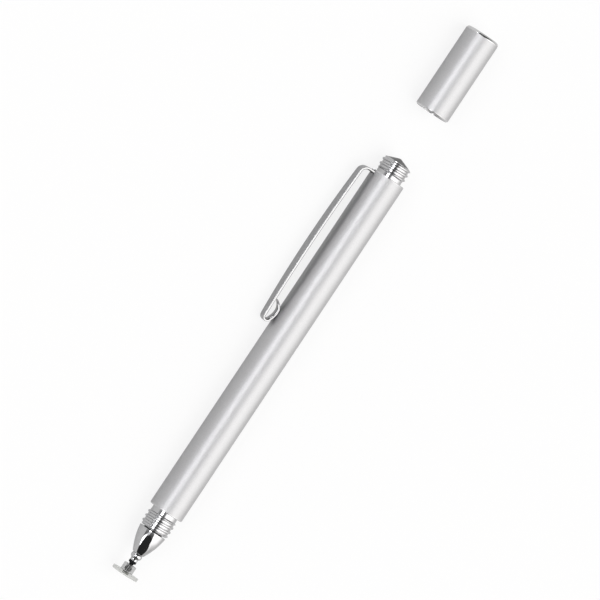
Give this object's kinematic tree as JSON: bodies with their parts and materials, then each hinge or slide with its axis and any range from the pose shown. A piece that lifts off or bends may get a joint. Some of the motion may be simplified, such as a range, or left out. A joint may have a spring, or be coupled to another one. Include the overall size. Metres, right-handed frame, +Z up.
{
  "type": "stylus pen",
  "caption": "Slim metal stylus pen with a clear swivelling touch disc on a ball joint, a sprung pocket clip and a screw cap that fits the threads at its ends.",
  "frame": {"origin": "centre of the disc's touch face, on the pen's axis", "axes": "+X along the pen, out of the touch face; the pen and its cap run along -X; +Z up from the surface that the pen lies on; the clip is on the -Y side"},
  "size_m": [0.1561, 0.0128, 0.009],
  "materials": {
    "satin_aluminium": "clear anodised, fine satin blasted",
    "polished_metal": "bright chrome plating",
    "turned_brass": "turned, unpolished",
    "black_metal": "black oxide",
    "clear_plastic": "clear, polished",
    "dark_plastic": "conductive dark grey, moulded",
    "black_rubber": "soft, matt"
  },
  "bodies": {
    "pen": {"barrel": "satin_aluminium", "front_bush": "turned_brass", "front_collar": "polished_metal", "nose_cone": "polished_metal", "grip_ring": "black_rubber", "tip_holder": "polished_metal", "ball_stud": "black_metal", "rear_bush": "turned_brass", "clip_ring": "polished_metal", "rear_plug": "polished_metal"},
    "clip": {"clip_arm": "polished_metal"},
    "swivel": {"socket_liner": "dark_plastic"},
    "disc": {"touch_disc": "clear_plastic", "disc_hub": "clear_plastic", "contact_pad": "dark_plastic"},
    "cap_pad": {"cap_pad": "black_rubber"},
    "cap": {"cap_shell": "satin_aluminium"}
  },
  "joints": [
    {"name": "disc_spin", "type": "hinge", "parent": "pen", "child": "swivel", "pos_m": [-0.00175, 0, 0], "axis": [1, 0, 0], "continuous": true},
    {"name": "disc_tilt", "type": "hinge", "parent": "swivel", "child": "disc", "pos_m": [-0.00175, 0, 0], "axis": [0, 1, 0], "range_deg": [-20, 20]},
    {"name": "clip_flex", "type": "hinge", "parent": "pen", "child": "clip", "pos_m": [-0.11416, -0.00471, -0.00167], "axis": [0, 0.3345, -0.9424], "range_deg": [0, 2.5], "stiffness_Nm_per_rad": 2.8},
    {"name": "cap_pull", "type": "slide", "parent": "pen", "child": "cap_pad", "axis": [1, 0, 0], "range_m": [0, 0.0187]},
    {"name": "cap_turn", "type": "hinge", "parent": "cap_pad", "child": "cap", "pos_m": [-0.13336, 0, 0], "axis": [1, 0, 0], "range_deg": [0, 5386]}
  ],
  "couplings": [
    {"joint": "cap_turn", "follows": "cap_pull", "rad_per_m": 5026.5}
  ]
}
